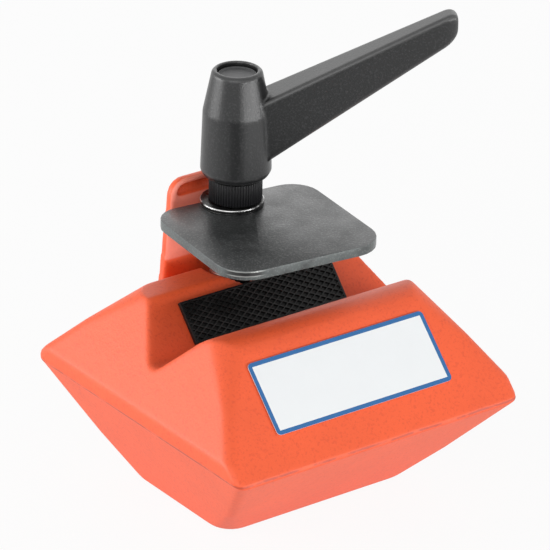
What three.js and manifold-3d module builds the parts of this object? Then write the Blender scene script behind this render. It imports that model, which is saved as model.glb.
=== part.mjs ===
// Clamp-on stage weight: a cast double wedge with a padded vee channel, a clamp plate on a stud, and an indexing lever.
// Lengths are in millimetres and +Z is up.
// The origin is on the bottom face, under the centre of the parting line.
// The channel runs along X, the front slope with its label faces -Y, and the lug stands at +Y.
import * as THREE from 'three';
import { mergeVertices } from 'three/addons/utils/BufferGeometryUtils.js';
import Module from 'manifold-3d';

const wasm = await Module();
wasm.setup();

// Gaps and overruns shared by all pieces
const seatGap = 0.3;
const threadClearance = 0.3;
const washerGap = 0.1;
const cutOverrun = 5;

// Weight casting: parting line, and the inverted frustum below it
const partingLength = 110;
const upperOverhang = 0.8;
const partingDepth = 112;
const lowerHeight = 36;
const lowerFlankHeight = 0.5;
const lowerSideInset = 18;
const lowerFrontInset = 33;
const lowerRearInset = 27.5;
const lowerCornerRadius = 2.6;
const baseCornerRadius = 8;
const lowerTightShare = 0.62;
const baseEdgeChamfer = 0.8;

// Weight casting: slopes, ridge, vee and land above the parting line
const frontSlopeDegrees = 45.7;
const rearSlopeDegrees = 45.2;
const sideSlopeDegrees = 58.1;
const rearFlankHeight = 2.4;
const sideFlankHeight = 5.2;
const upperBlankHeight = 39;
const upperFootCornerRadius = 3.2;
const upperTopCornerRadius = 12;
const upperTightShare = 0.45;
const veeApexY = 1;
const veeApexHeight = 14.6;
const veeFrontWallDegrees = 45;
const veeRearWallDegrees = 48;
const veeFloorRadius = 4;
const ridgeRadius = 10.5;
const landHeight = 31.9;
const landEdgeRadius = 2;
const cutterRun = 28;

// Weight casting: rear lug with its blind slot
const lugFrontY = 35.9;
const lugThickness = 3.6;
const lugTopHeight = 59.5;
const lugTopHalfWidth = 16;
const lugFootHalfWidth = 21.2;
const lugFootHeight = 11;
const lugCornerRadius = 5.4;
const slotTopHeight = 57.6;
const slotBottomHeight = 53.6;
const slotHalfWidth = 14.1;
const slotDepth = 2.2;
const slotUpperRadius = 2.8;
const slotLowerRadius = 0.6;

// Weight casting: well round the stud, and the blind tapped bore under it
const studY = 24.1;
const wellRadius = 10.4;
const wellFloorHeight = 15;
const wellLipChamfer = 1.3;
const tappedLength = 42;

// Rubber pads on the two walls of the vee
const padLength = 60;
const frontPadWidth = 9;
const rearPadWidth = 14.4;
const padThickness = 1.5;
const padToFloor = 4.6;

// Label on the front slope
const labelLength = 68.8;
const labelWidth = 24.6;
const labelThickness = 0.3;
const labelToParting = 12.4;
const labelCentreX = -0.4;

// Clamp plate and the thrust washer on it
const plateThickness = 3;
const plateToParting = 49.8;
const plateHalfWidth = 28.3;
const plateFrontReach = 48.4;
const plateRearReach = 5.2;
const plateFrontCornerRadius = 10.6;
const plateRearCornerRadius = 9.2;
const plateLobeRadius = 10.5;
const plateHoleClearance = 0.6;
const plateTurnDegrees = -6.3;
const washerRadius = 10.4;
const washerHoleRadius = 6.5;
const washerThickness = 1.5;
const washerOffsetX = -0.9;
const washerOffsetY = 0.6;

// Stud
const studRadius = 5;
const studBelowParting = 13;
const studInInsert = 16;
const studEndChamfer = 0.8;

// Lift spring and the washer over it
const springWireDiameter = 1.4;
const springMeanRadius = 7.4;
const springTurns = 8;
const springFlatTurns = 0.5;
const springWasherRadius = 9.6;
const springWasherThickness = 1.2;

// Ribbed insert of the lever
const insertRibRadius = 8.65;
const insertRibDepth = 0.35;
const insertRibCount = 60;
const insertRibShares = [0, 0.35, 0.5, 0.85];
const insertCollarHeight = 7.4;
const insertNeckRadius = 7;
const insertNeckHeight = 16.6;
const insertEdgeChamfer = 0.5;

// Lever handle: hub
const handleToCollar = 0.4;
const hubFootRadius = 10.2;
const hubRadius = 11.5;
const hubShoulderRadius = 10.9;
const hubTopRadius = 8.2;
const hubFootHeight = 2.6;
const hubFootMidRadius = 11.1;
const hubFootMidHeight = 0.9;
const hubShoulderHeight = 22.6;
const hubHeight = 36.6;
const hubRimRadius = 0.8;
const neckClearance = 0.3;
const hubWebThickness = 4;
const chamberRadius = 6.5;
const shankClearance = 0.4;

// Lever handle: arm
const armTurnDegrees = -32;
const armReach = 69.8;
const armRootHalfWidth = 7.3;
const armTipHalfWidth = 3.9;
const armNoseHalfWidth = 1.4;
const armRootTop = 24.7;
const armTipTop = 56.7;
const armRootBottom = 1.4;
const armTipBottom = 46.5;
const armNoseLength = 3.9;
const armToeHeight = 2.6;
const armBrowHeight = 3.8;
const armEdgeRadius = 1.3;
const armSideDraft = 0.9;
const armRootDistance = 2;

// Lever spring, retaining screw and cap
const leverLift = 4;
const leverWireDiameter = 0.7;
const leverSpringMeanRadius = 4.3;
const leverSpringTurns = 4;
const leverSpringPressedHeight = 4.6;
const screwShankRadius = 3;
const screwHeadRadius = 5.2;
const screwHeadHeight = 3;
const screwInInsert = 6;
const screwSocketRadius = 2.3;
const screwSocketDepth = 1.8;
const capFlangeRadius = 6.2;
const capDiscRadius = 5.7;
const capFlangeHeight = 1;
const capDiscHeight = 0.8;
const capToRim = 1.5;

// Facet counts
const roundSteps = 48;
const boreSteps = 40;
const cornerSteps = 6;
const armCornerSteps = 3;
const armNoseSteps = 4;
const springSteps = 8;
const wireSides = 5;

// Heights above the bottom face that several pieces share
const radians = THREE.MathUtils.degToRad;
const partingZ = lowerHeight;
const plateBottomZ = partingZ + plateToParting;
const plateTopZ = plateBottomZ + plateThickness;
const washerBottomZ = plateTopZ + washerGap;
const washerTopZ = washerBottomZ + washerThickness;
const insertBottomZ = washerTopZ + seatGap;
const collarTopZ = insertBottomZ + insertCollarHeight;
const insertTopZ = collarTopZ + insertNeckHeight;
const handleBottomZ = collarTopZ + handleToCollar;
const webBottomZ = insertTopZ + seatGap;
const webTopZ = webBottomZ + hubWebThickness;
const handleTopZ = handleBottomZ + hubHeight;
const leverSpringHeight = leverLift + leverSpringPressedHeight;
const wellFloorZ = partingZ + wellFloorHeight;
const studAxis = new THREE.Vector3(0, studY, 0);

const finishes = {
  coating: new THREE.MeshStandardMaterial({ color: 0xe8503a, roughness: 0.55, metalness: 0.05 }),
  rubber: new THREE.MeshStandardMaterial({ color: 0x141414, roughness: 0.8, metalness: 0 }),
  label: new THREE.MeshStandardMaterial({ color: 0xf2f5f6, roughness: 0.4, metalness: 0 }),
  platePaint: new THREE.MeshStandardMaterial({ color: 0x45494b, roughness: 0.5, metalness: 0.2 }),
  steel: new THREE.MeshStandardMaterial({ color: 0xb9bcbe, roughness: 0.35, metalness: 1 }),
  darkSteel: new THREE.MeshStandardMaterial({ color: 0x2c2d2e, roughness: 0.4, metalness: 0.9 }),
  insertBlack: new THREE.MeshStandardMaterial({ color: 0x161718, roughness: 0.3, metalness: 0.6 }),
  handle: new THREE.MeshStandardMaterial({ color: 0x3a3c3e, roughness: 0.55, metalness: 0 }),
};

// Turn a corner list [x, y, radius] into an outline whose corners are arcs
function roundCorners(corners, steps = cornerSteps) {
  const points = [];
  corners.forEach(([x, y, radius], index) => {
    const corner = new THREE.Vector2(x, y);
    if (!radius) {
      points.push(corner);
      return;
    }
    const before = corners[(index + corners.length - 1) % corners.length];
    const after = corners[(index + 1) % corners.length];
    const toBefore = new THREE.Vector2(before[0], before[1]).sub(corner).normalize();
    const toAfter = new THREE.Vector2(after[0], after[1]).sub(corner).normalize();
    const halfAngle = Math.acos(THREE.MathUtils.clamp(toBefore.dot(toAfter), -1, 1)) / 2;
    const bisector = toBefore.clone().add(toAfter).normalize();
    const centre = corner.clone().addScaledVector(bisector, radius / Math.sin(halfAngle));
    const tangent = radius / Math.tan(halfAngle);
    const start = corner.clone().addScaledVector(toBefore, tangent).sub(centre);
    const end = corner.clone().addScaledVector(toAfter, tangent).sub(centre);
    const turn = Math.atan2(start.cross(end), start.dot(end));
    for (let step = 0; step <= steps; step += 1) {
      const spoke = start.clone().rotateAround(new THREE.Vector2(), (turn * step) / steps);
      points.push(centre.clone().add(spoke));
    }
  });
  return points;
}

function rectangleCorners(halfWidth, low, high, lowRadius, highRadius = lowRadius) {
  return [
    [-halfWidth, low, lowRadius],
    [halfWidth, low, lowRadius],
    [halfWidth, high, highRadius],
    [-halfWidth, high, highRadius],
  ];
}

function circleOutline(radius, steps) {
  return Array.from({ length: steps }, (_, step) => {
    const angle = (step / steps) * 2 * Math.PI;
    return new THREE.Vector2(radius * Math.cos(angle), radius * Math.sin(angle));
  });
}

// Extrude an outline upwards from one height to another
function extrudeUp(outline, lowZ, highZ) {
  const shape = new THREE.Shape(outline);
  const geometry = new THREE.ExtrudeGeometry(shape, { depth: highZ - lowZ, bevelEnabled: false });
  return geometry.translate(0, 0, lowZ);
}

// Extrude an outline drawn in Y and Z along X, centred on X = 0
function extrudeAcross(outline, length) {
  const shape = new THREE.Shape(outline);
  const geometry = new THREE.ExtrudeGeometry(shape, { depth: length, bevelEnabled: false });
  const turn = new THREE.Matrix4().makeBasis(
    new THREE.Vector3(0, 1, 0),
    new THREE.Vector3(0, 0, 1),
    new THREE.Vector3(1, 0, 0),
  );
  return geometry.translate(0, 0, -length / 2).applyMatrix4(turn);
}

// Extrude an outline drawn in X and Z towards +Y
function extrudeBack(outline, frontY, depth) {
  const shape = new THREE.Shape(outline);
  const geometry = new THREE.ExtrudeGeometry(shape, { depth, bevelEnabled: false });
  return geometry.rotateX(Math.PI / 2).translate(0, frontY + depth, 0);
}

// Turn a profile of [radius, height] pairs about a vertical axis
function turned(profile, steps = roundSteps) {
  const points = profile.map(([radius, height]) => new THREE.Vector2(radius, height));
  return new THREE.LatheGeometry(points, steps).rotateX(Math.PI / 2);
}

function turnedPlug(radius, lowZ, highZ, steps = boreSteps) {
  return turned([[0, lowZ], [radius, lowZ], [radius, highZ], [0, highZ]], steps);
}

// Join rings of equally many points into one closed solid
function loft(rings) {
  const count = rings[0].length;
  const positions = rings.flat().flatMap((point) => [point.x, point.y, point.z]);
  const faces = [];
  for (let ring = 0; ring + 1 < rings.length; ring += 1) {
    for (let side = 0; side < count; side += 1) {
      const a = ring * count + side;
      const b = ring * count + ((side + 1) % count);
      faces.push(a, b, b + count, a, b + count, a + count);
    }
  }
  const last = (rings.length - 1) * count;
  for (let side = 1; side + 1 < count; side += 1) {
    faces.push(0, side + 1, side);
    faces.push(last, last + side, last + side + 1);
  }
  const geometry = new THREE.BufferGeometry();
  geometry.setAttribute('position', new THREE.Float32BufferAttribute(positions, 3));
  geometry.setIndex(faces);
  return geometry;
}

function toSolid(geometry) {
  const bare = geometry.clone();
  bare.deleteAttribute('normal');
  bare.deleteAttribute('uv');
  const merged = mergeVertices(bare);
  const vertProperties = new Float32Array(merged.attributes.position.array);
  const triVerts = new Uint32Array(merged.index.array);
  return new wasm.Manifold(new wasm.Mesh({ numProp: 3, vertProperties, triVerts }));
}

function toGeometry(solid) {
  const mesh = solid.getMesh();
  const geometry = new THREE.BufferGeometry();
  geometry.setAttribute('position', new THREE.Float32BufferAttribute(mesh.vertProperties, 3));
  geometry.setIndex(Array.from(mesh.triVerts));
  geometry.computeVertexNormals();
  return geometry;
}

function makePiece(name, shape, finish) {
  const geometry = shape.isBufferGeometry ? shape : toGeometry(shape);
  const mesh = new THREE.Mesh(geometry, finish);
  mesh.name = name;
  return mesh;
}

// The level ring of the casting at a height, from its distances to the four sides
function castingRing(halfLength, frontY, rearY, radius, height) {
  const outline = roundCorners(rectangleCorners(halfLength, frontY, rearY, radius));
  return outline.map((point) => new THREE.Vector3(point.x, point.y, height));
}

// A corner's radius stays tight near the parting line, then opens evenly to the far end
function cornerRadiusAt(share, tightShare, tightRadius, openRadius) {
  const opened = Math.max(0, share - tightShare) / (1 - tightShare);
  return THREE.MathUtils.lerp(tightRadius, openRadius, opened);
}

// The frustum starts with a narrow upright band under the parting line
function lowerFrustum() {
  const halfLength = partingLength / 2;
  const halfDepth = partingDepth / 2;
  const flankZ = partingZ - lowerFlankHeight;
  const ringAt = (height, extraInset) => {
    const drop = Math.max(0, (flankZ - height) / flankZ);
    const radius = cornerRadiusAt(drop, lowerTightShare, lowerCornerRadius, baseCornerRadius);
    return castingRing(
      halfLength - lowerSideInset * drop - extraInset,
      -halfDepth + lowerFrontInset * drop + extraInset,
      halfDepth - lowerRearInset * drop - extraInset,
      radius,
      height,
    );
  };
  return loft([
    ringAt(0, baseEdgeChamfer),
    ringAt(baseEdgeChamfer, 0),
    ringAt(flankZ * (1 - lowerTightShare), 0),
    ringAt(flankZ, 0),
    ringAt(partingZ, 0),
  ]);
}

function upperBlank() {
  const halfLength = partingLength / 2 + upperOverhang;
  const halfDepth = partingDepth / 2;
  const ringAt = (height) => {
    const rise = height / upperBlankHeight;
    const radius = cornerRadiusAt(rise, upperTightShare, upperFootCornerRadius, upperTopCornerRadius);
    const aboveSideFlank = Math.max(0, height - sideFlankHeight);
    const aboveRearFlank = Math.max(0, height - rearFlankHeight);
    return castingRing(
      halfLength - aboveSideFlank / Math.tan(radians(sideSlopeDegrees)),
      -halfDepth + height / Math.tan(radians(frontSlopeDegrees)),
      halfDepth - aboveRearFlank / Math.tan(radians(rearSlopeDegrees)),
      radius,
      partingZ + height,
    );
  };
  const tightHeight = upperBlankHeight * upperTightShare;
  return loft([0, rearFlankHeight, sideFlankHeight, tightHeight, upperBlankHeight].map(ringAt));
}

// Where the front slope meets the vee's front wall, before the ridge is rounded
function ridgePoint() {
  const slope = Math.tan(radians(frontSlopeDegrees));
  const wall = Math.tan(radians(veeFrontWallDegrees));
  const startY = -partingDepth / 2;
  const ridgeY = (veeApexHeight + wall * veeApexY + slope * startY) / (slope + wall);
  return [ridgeY, (ridgeY - startY) * slope];
}

// Everything that is cut away above the ridge, the vee and the land
function topCutter() {
  const [ridgeY, ridgeHeight] = ridgePoint();
  const frontAngle = radians(frontSlopeDegrees);
  const rearAngle = radians(rearSlopeDegrees);
  const landFrontY = veeApexY + (landHeight - veeApexHeight) / Math.tan(radians(veeRearWallDegrees));
  const landRearY = partingDepth / 2 - (landHeight - rearFlankHeight) / Math.tan(rearAngle);
  const skyHeight = partingZ + upperBlankHeight + cutOverrun;
  const outline = roundCorners([
    [ridgeY, partingZ + ridgeHeight, ridgeRadius],
    [veeApexY, partingZ + veeApexHeight, veeFloorRadius],
    [landFrontY, partingZ + landHeight, landEdgeRadius],
    [landRearY, partingZ + landHeight, landEdgeRadius],
    [landRearY + cutterRun * Math.cos(rearAngle), partingZ + landHeight - cutterRun * Math.sin(rearAngle), 0],
    [partingDepth / 2 + cutOverrun, partingZ + landHeight - cutterRun * Math.sin(rearAngle), 0],
    [partingDepth / 2 + cutOverrun, skyHeight, 0],
    [-partingDepth / 2 - cutOverrun, skyHeight, 0],
    [-partingDepth / 2 - cutOverrun, partingZ + ridgeHeight - cutterRun * Math.sin(frontAngle), 0],
    [ridgeY - cutterRun * Math.cos(frontAngle), partingZ + ridgeHeight - cutterRun * Math.sin(frontAngle), 0],
  ]);
  return extrudeAcross(outline.reverse(), partingLength + 2 * cutOverrun);
}

function rearLug() {
  const outline = roundCorners([
    [-lugFootHalfWidth, partingZ + lugFootHeight, 0],
    [lugFootHalfWidth, partingZ + lugFootHeight, 0],
    [lugTopHalfWidth, partingZ + lugTopHeight, lugCornerRadius],
    [-lugTopHalfWidth, partingZ + lugTopHeight, lugCornerRadius],
  ]);
  return extrudeBack(outline, lugFrontY, lugThickness);
}

function lugSlot() {
  const outline = roundCorners([
    [-slotHalfWidth, partingZ + slotBottomHeight, slotLowerRadius],
    [slotHalfWidth, partingZ + slotBottomHeight, slotLowerRadius],
    [slotHalfWidth, partingZ + slotTopHeight, slotUpperRadius],
    [-slotHalfWidth, partingZ + slotTopHeight, slotUpperRadius],
  ]);
  return extrudeBack(outline, lugFrontY - cutOverrun, cutOverrun + slotDepth);
}

// The well, its chamfered lip and the tapped bore, as one stepped cutter
function studCutter() {
  const boreRadius = studRadius + threadClearance;
  const lipZ = partingZ + landHeight - wellLipChamfer;
  const lipRadius = wellRadius + wellLipChamfer + cutOverrun;
  return turned([
    [0, wellFloorZ - tappedLength],
    [boreRadius, wellFloorZ - tappedLength],
    [boreRadius, wellFloorZ],
    [wellRadius, wellFloorZ],
    [wellRadius, lipZ],
    [lipRadius, lipZ + wellLipChamfer + cutOverrun],
    [0, lipZ + wellLipChamfer + cutOverrun],
  ]).translate(0, studY, 0);
}

function weightCasting() {
  const blank = toSolid(lowerFrustum()).add(toSolid(upperBlank()));
  const wedge = blank.subtract(toSolid(topCutter())).subtract(toSolid(studCutter()));
  const lug = toSolid(rearLug()).subtract(toSolid(lugSlot()));
  return makePiece('weight_casting', wedge.add(lug), finishes.coating);
}

// A pad lying on one wall of the vee; side is -1 for the front wall and 1 for the rear wall
function jawPad(name, side, wallDegrees, padWidth) {
  const pad = makePiece(name, new THREE.BoxGeometry(padLength, padWidth, padThickness), finishes.rubber);
  const angle = radians(wallDegrees);
  const along = padToFloor + padWidth / 2;
  const lift = seatGap + padThickness / 2;
  pad.position.set(
    0,
    veeApexY + side * (along * Math.cos(angle) - lift * Math.sin(angle)),
    partingZ + veeApexHeight + along * Math.sin(angle) + lift * Math.cos(angle),
  );
  pad.rotation.x = side * angle;
  return pad;
}

function frontLabel() {
  const blank = new THREE.BoxGeometry(labelLength, labelWidth, labelThickness);
  const label = makePiece('front_label', blank, finishes.label);
  const angle = radians(frontSlopeDegrees);
  const along = labelToParting + labelWidth / 2;
  const lift = seatGap + labelThickness / 2;
  label.position.set(
    labelCentreX,
    -partingDepth / 2 + along * Math.cos(angle) - lift * Math.sin(angle),
    partingZ + along * Math.sin(angle) + lift * Math.cos(angle),
  );
  label.rotation.x = angle;
  return label;
}

// The plate is drawn about the stud's axis, then turned to where it stands at rest
function clampPlate() {
  const outline = roundCorners(rectangleCorners(
    plateHalfWidth,
    -plateFrontReach,
    plateRearReach,
    plateFrontCornerRadius,
    plateRearCornerRadius,
  ));
  const lobe = circleOutline(plateLobeRadius, roundSteps);
  const hole = circleOutline(studRadius + plateHoleClearance, boreSteps);
  const solid = toSolid(extrudeUp(outline, plateBottomZ, plateTopZ))
    .add(toSolid(extrudeUp(lobe, plateBottomZ, plateTopZ)))
    .subtract(toSolid(extrudeUp(hole, plateBottomZ - cutOverrun, plateTopZ + cutOverrun)));
  const plate = makePiece('clamp_plate', solid, finishes.platePaint);
  plate.rotation.z = radians(plateTurnDegrees);
  return plate;
}

function flatWasher(name, outerRadius, holeRadius, lowZ, thickness, finish) {
  const highZ = lowZ + thickness;
  const profile = [
    [holeRadius, lowZ],
    [outerRadius, lowZ],
    [outerRadius, highZ],
    [holeRadius, highZ],
    [holeRadius, lowZ],
  ];
  return makePiece(name, turned(profile), finish);
}

// The washer under the lever has a wide hole and has slipped to one side
function thrustWasher() {
  const washer = flatWasher(
    'thrust_washer',
    washerRadius,
    washerHoleRadius,
    washerBottomZ,
    washerThickness,
    finishes.steel,
  );
  washer.position.set(washerOffsetX, washerOffsetY, 0);
  return washer;
}

function clampStud() {
  const lowZ = partingZ - studBelowParting;
  const highZ = insertBottomZ + studInInsert;
  return makePiece('clamp_stud', turned([
    [0, lowZ],
    [studRadius - studEndChamfer, lowZ],
    [studRadius, lowZ + studEndChamfer],
    [studRadius, highZ],
    [0, highZ],
  ], boreSteps), finishes.darkSteel);
}

// A round-wire compression spring: the end turns lie flat and each wire end runs straight
class SpringCurve extends THREE.Curve {
  constructor(meanRadius, turns, lowZ, highZ, tailLength) {
    super();
    Object.assign(this, { meanRadius, turns, lowZ, highZ, tailLength });
  }

  getPoint(share, target = new THREE.Vector3()) {
    const coilLength = this.turns * 2 * Math.PI * this.meanRadius;
    const travel = share * (coilLength + 2 * this.tailLength) - this.tailLength;
    const onCoil = THREE.MathUtils.clamp(travel, 0, coilLength);
    const beyond = travel - onCoil;
    const turn = onCoil / (2 * Math.PI * this.meanRadius);
    const risingTurns = this.turns - 2 * springFlatTurns;
    const rise = THREE.MathUtils.clamp((turn - springFlatTurns) / risingTurns, 0, 1);
    const angle = turn * 2 * Math.PI;
    return target.set(
      this.meanRadius * Math.cos(angle) - beyond * Math.sin(angle),
      this.meanRadius * Math.sin(angle) + beyond * Math.cos(angle),
      THREE.MathUtils.lerp(this.lowZ, this.highZ, rise),
    );
  }
}

// Measure the least gap between wire surfaces more than half a turn apart along the spring
function leastSpringGap(curve, steps, wireDiameter) {
  const points = curve.getSpacedPoints(steps);
  let least = Infinity;
  for (let first = 0; first < points.length; first += 1) {
    for (let second = first + springSteps / 2 + 1; second < points.length; second += 1) {
      least = Math.min(least, points[first].distanceTo(points[second]));
    }
  }
  return least - wireDiameter;
}

function coilSpring(name, meanRadius, turns, wireDiameter, lowZ, highZ, finish) {
  const wireRadius = wireDiameter / 2;
  const curve = new SpringCurve(meanRadius, turns, lowZ + wireRadius, highZ - wireRadius, wireDiameter);
  const steps = turns * springSteps;
  const section = new THREE.Shape(circleOutline(wireRadius, wireSides));
  const wire = new THREE.ExtrudeGeometry(section, { steps, extrudePath: curve, bevelEnabled: false });
  console.log(`${name}: least gap to itself ${leastSpringGap(curve, steps, wireDiameter).toFixed(2)} mm`);
  return makePiece(name, wire, finish);
}

// Outline with fine upright ribs
function ribbedOutline(radius, depth, count) {
  const outline = [];
  for (let rib = 0; rib < count; rib += 1) {
    insertRibShares.forEach((share, index) => {
      const angle = ((rib + share) / count) * 2 * Math.PI;
      const reach = index < 2 ? radius : radius - depth;
      outline.push(new THREE.Vector2(reach * Math.cos(angle), reach * Math.sin(angle)));
    });
  }
  return outline;
}

function leverInsert() {
  const neck = turned([
    [0, collarTopZ - insertEdgeChamfer],
    [insertNeckRadius, collarTopZ - insertEdgeChamfer],
    [insertNeckRadius, insertTopZ - insertEdgeChamfer],
    [insertNeckRadius - insertEdgeChamfer, insertTopZ],
    [0, insertTopZ],
  ]);
  const ribs = ribbedOutline(insertRibRadius, insertRibDepth, insertRibCount);
  const studBore = turnedPlug(
    studRadius + seatGap,
    insertBottomZ - cutOverrun,
    insertBottomZ + studInInsert + seatGap,
  );
  const screwBore = turnedPlug(
    screwShankRadius + seatGap,
    insertTopZ - screwInInsert - seatGap,
    insertTopZ + cutOverrun,
  );
  const solid = toSolid(extrudeUp(ribs, insertBottomZ, collarTopZ))
    .add(toSolid(neck))
    .subtract(toSolid(studBore))
    .subtract(toSolid(screwBore));
  return makePiece('lever_insert', solid, finishes.insertBlack);
}

// The arm's section at a distance from the axis: a drafted box with rounded edges
function armRing(distance) {
  const run = (distance - armRootDistance) / (armReach - armRootDistance);
  const fromTip = armReach - distance;
  const nose = Math.min(1, fromTip / armNoseLength);
  const roundness = Math.sqrt(1 - (1 - nose) ** 2);
  const fullHalf = THREE.MathUtils.lerp(armRootHalfWidth, armTipHalfWidth, run);
  const halfWidth = THREE.MathUtils.lerp(armNoseHalfWidth, fullHalf, roundness);
  const brow = armBrowHeight * (1 - roundness);
  const top = handleBottomZ + THREE.MathUtils.lerp(armRootTop, armTipTop, run) - brow;
  const toe = armToeHeight * (1 - roundness);
  const bottom = handleBottomZ + THREE.MathUtils.lerp(armRootBottom, armTipBottom, run) + toe;
  const edge = Math.min(armEdgeRadius, halfWidth / 2);
  const draft = armSideDraft * roundness;
  const outline = roundCorners([
    [-halfWidth + draft, bottom, edge],
    [halfWidth - draft, bottom, edge],
    [halfWidth, top, edge],
    [-halfWidth, top, edge],
  ], armCornerSteps);
  return outline.map((point) => new THREE.Vector3(distance, point.x, point.y));
}

function leverArm() {
  const distances = [armRootDistance];
  for (let step = 0; step <= armNoseSteps; step += 1) {
    const quarterTurn = (step / armNoseSteps) * (Math.PI / 2);
    distances.push(armReach - armNoseLength * (1 - Math.sin(quarterTurn)));
  }
  return loft(distances.map(armRing)).rotateZ(radians(armTurnDegrees));
}

function leverHandle() {
  const hub = turned([
    [0, handleBottomZ],
    [hubFootRadius, handleBottomZ],
    [hubFootMidRadius, handleBottomZ + hubFootMidHeight],
    [hubRadius, handleBottomZ + hubFootHeight],
    [hubShoulderRadius, handleBottomZ + hubShoulderHeight],
    [hubTopRadius, handleTopZ - hubRimRadius],
    [hubTopRadius - hubRimRadius, handleTopZ],
    [0, handleTopZ],
  ]);
  const neckBore = turnedPlug(insertNeckRadius + neckClearance, handleBottomZ - cutOverrun, webBottomZ);
  const webBore = turnedPlug(screwShankRadius + shankClearance, webBottomZ - cutOverrun, webTopZ + cutOverrun);
  const chamber = turnedPlug(chamberRadius, webTopZ, handleTopZ + cutOverrun);
  const solid = toSolid(hub)
    .add(toSolid(leverArm()))
    .subtract(toSolid(neckBore))
    .subtract(toSolid(webBore))
    .subtract(toSolid(chamber));
  return makePiece('lever_handle', solid, finishes.handle);
}

const headLowZ = webTopZ + leverSpringHeight + 2 * seatGap;

function leverScrew() {
  const headHighZ = headLowZ + screwHeadHeight;
  const body = turned([
    [0, insertTopZ - screwInInsert],
    [screwShankRadius, insertTopZ - screwInInsert],
    [screwShankRadius, headLowZ],
    [screwHeadRadius, headLowZ],
    [screwHeadRadius, headHighZ - insertEdgeChamfer],
    [screwHeadRadius - insertEdgeChamfer, headHighZ],
    [0, headHighZ],
  ], boreSteps);
  const hexagon = circleOutline(screwSocketRadius, 6);
  const socket = extrudeUp(hexagon, headHighZ - screwSocketDepth, headHighZ + cutOverrun);
  return makePiece('lever_screw', toSolid(body).subtract(toSolid(socket)), finishes.steel);
}

function leverCap() {
  const discTopZ = handleTopZ - capToRim;
  const flangeTopZ = discTopZ - capDiscHeight;
  return makePiece('lever_cap', turned([
    [0, flangeTopZ - capFlangeHeight],
    [capFlangeRadius, flangeTopZ - capFlangeHeight],
    [capFlangeRadius, flangeTopZ],
    [capDiscRadius, flangeTopZ],
    [capDiscRadius, discTopZ],
    [0, discTopZ],
  ]), finishes.handle);
}

const springWasherLowZ = plateBottomZ - seatGap - springWasherThickness;

// Fixed body: the casting and what is bonded to it
const fixedPieces = new THREE.Group();
fixedPieces.add(
  weightCasting(),
  jawPad('front_jaw_pad', -1, veeFrontWallDegrees, frontPadWidth),
  jawPad('rear_jaw_pad', 1, veeRearWallDegrees, rearPadWidth),
  frontLabel(),
);

// Everything that turns or slides on the stud's axis
const studPieces = new THREE.Group();
studPieces.position.copy(studAxis);
studPieces.add(
  clampPlate(),
  thrustWasher(),
  flatWasher(
    'spring_washer',
    springWasherRadius,
    studRadius + threadClearance,
    springWasherLowZ,
    springWasherThickness,
    finishes.steel,
  ),
  coilSpring(
    'lift_spring',
    springMeanRadius,
    springTurns,
    springWireDiameter,
    wellFloorZ + seatGap,
    springWasherLowZ - seatGap,
    finishes.steel,
  ),
  clampStud(),
  leverInsert(),
  leverScrew(),
  coilSpring(
    'lever_spring',
    leverSpringMeanRadius,
    leverSpringTurns,
    leverWireDiameter,
    webTopZ + seatGap,
    webTopZ + seatGap + leverSpringHeight,
    finishes.steel,
  ),
  leverHandle(),
  leverCap(),
);

const stageWeight = new THREE.Group();
stageWeight.name = 'stage_weight';
stageWeight.add(fixedPieces, studPieces);

export default stageWeight;
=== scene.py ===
# %% [markdown]
# # A clamp-on stage weight
# The real thing is a cast double wedge with rubber pads in a vee on top, a flat plate on a sprung stud, and a
# clamp lever that presses the plate on a tube. The CAD model gives every size and joint. This lesson dresses it:
# each piece that shows gets the soft edges, the texture and the finish that the real one has.

# %% Load the CAD frame and keep its box
import math

import bmesh
import bpy
from mathutils import Matrix, Vector


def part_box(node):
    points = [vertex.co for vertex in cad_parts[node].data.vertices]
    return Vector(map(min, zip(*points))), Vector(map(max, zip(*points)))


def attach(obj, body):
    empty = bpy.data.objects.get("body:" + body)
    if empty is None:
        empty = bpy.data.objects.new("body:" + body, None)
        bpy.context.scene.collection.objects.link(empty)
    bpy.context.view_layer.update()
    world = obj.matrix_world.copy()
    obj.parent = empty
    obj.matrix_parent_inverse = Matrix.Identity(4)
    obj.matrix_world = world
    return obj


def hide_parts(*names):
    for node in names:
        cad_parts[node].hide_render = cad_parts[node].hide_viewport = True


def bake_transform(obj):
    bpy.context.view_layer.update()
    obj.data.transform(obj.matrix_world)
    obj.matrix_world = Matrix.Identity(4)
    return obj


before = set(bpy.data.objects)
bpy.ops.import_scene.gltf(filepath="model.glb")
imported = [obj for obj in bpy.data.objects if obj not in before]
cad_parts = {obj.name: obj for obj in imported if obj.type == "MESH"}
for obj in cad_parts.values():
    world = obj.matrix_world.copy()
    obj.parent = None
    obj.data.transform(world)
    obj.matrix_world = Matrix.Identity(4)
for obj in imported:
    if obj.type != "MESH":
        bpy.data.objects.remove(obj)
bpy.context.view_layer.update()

# %% [markdown]
# ## The camera
# The photograph was taken with a long lens from the front left, a little above the object. The camera stands
# 1.4 m from the middle of the parting line, looks slightly past it, and leans by one degree, as the
# photograph's uprights do.

# %% Place the camera
parting_height = 0.036
camera_turn = math.radians(36.86)
camera_rise = math.radians(26.59)
camera_lean = math.radians(1.11)
camera_distance = 1.403
photo_side = 550
focal_pixels = 4352.0
target_right_pixels, target_below_pixels = 2.0, 102.2

target = Vector((0, 0, parting_height))
toward_camera = Vector((
    -math.sin(camera_turn) * math.cos(camera_rise),
    -math.cos(camera_turn) * math.cos(camera_rise),
    math.sin(camera_rise),
))
side = Vector((0, 0, 1)).cross(toward_camera).normalized()
above = toward_camera.cross(side)
lean = Matrix.Rotation(camera_lean, 3, toward_camera)
side, above = lean @ side, lean @ above
aim = -toward_camera * focal_pixels - side * target_right_pixels + above * target_below_pixels
aim.normalize()
above = (above - aim * above.dot(aim)).normalized()
side = aim.cross(above)

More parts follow.
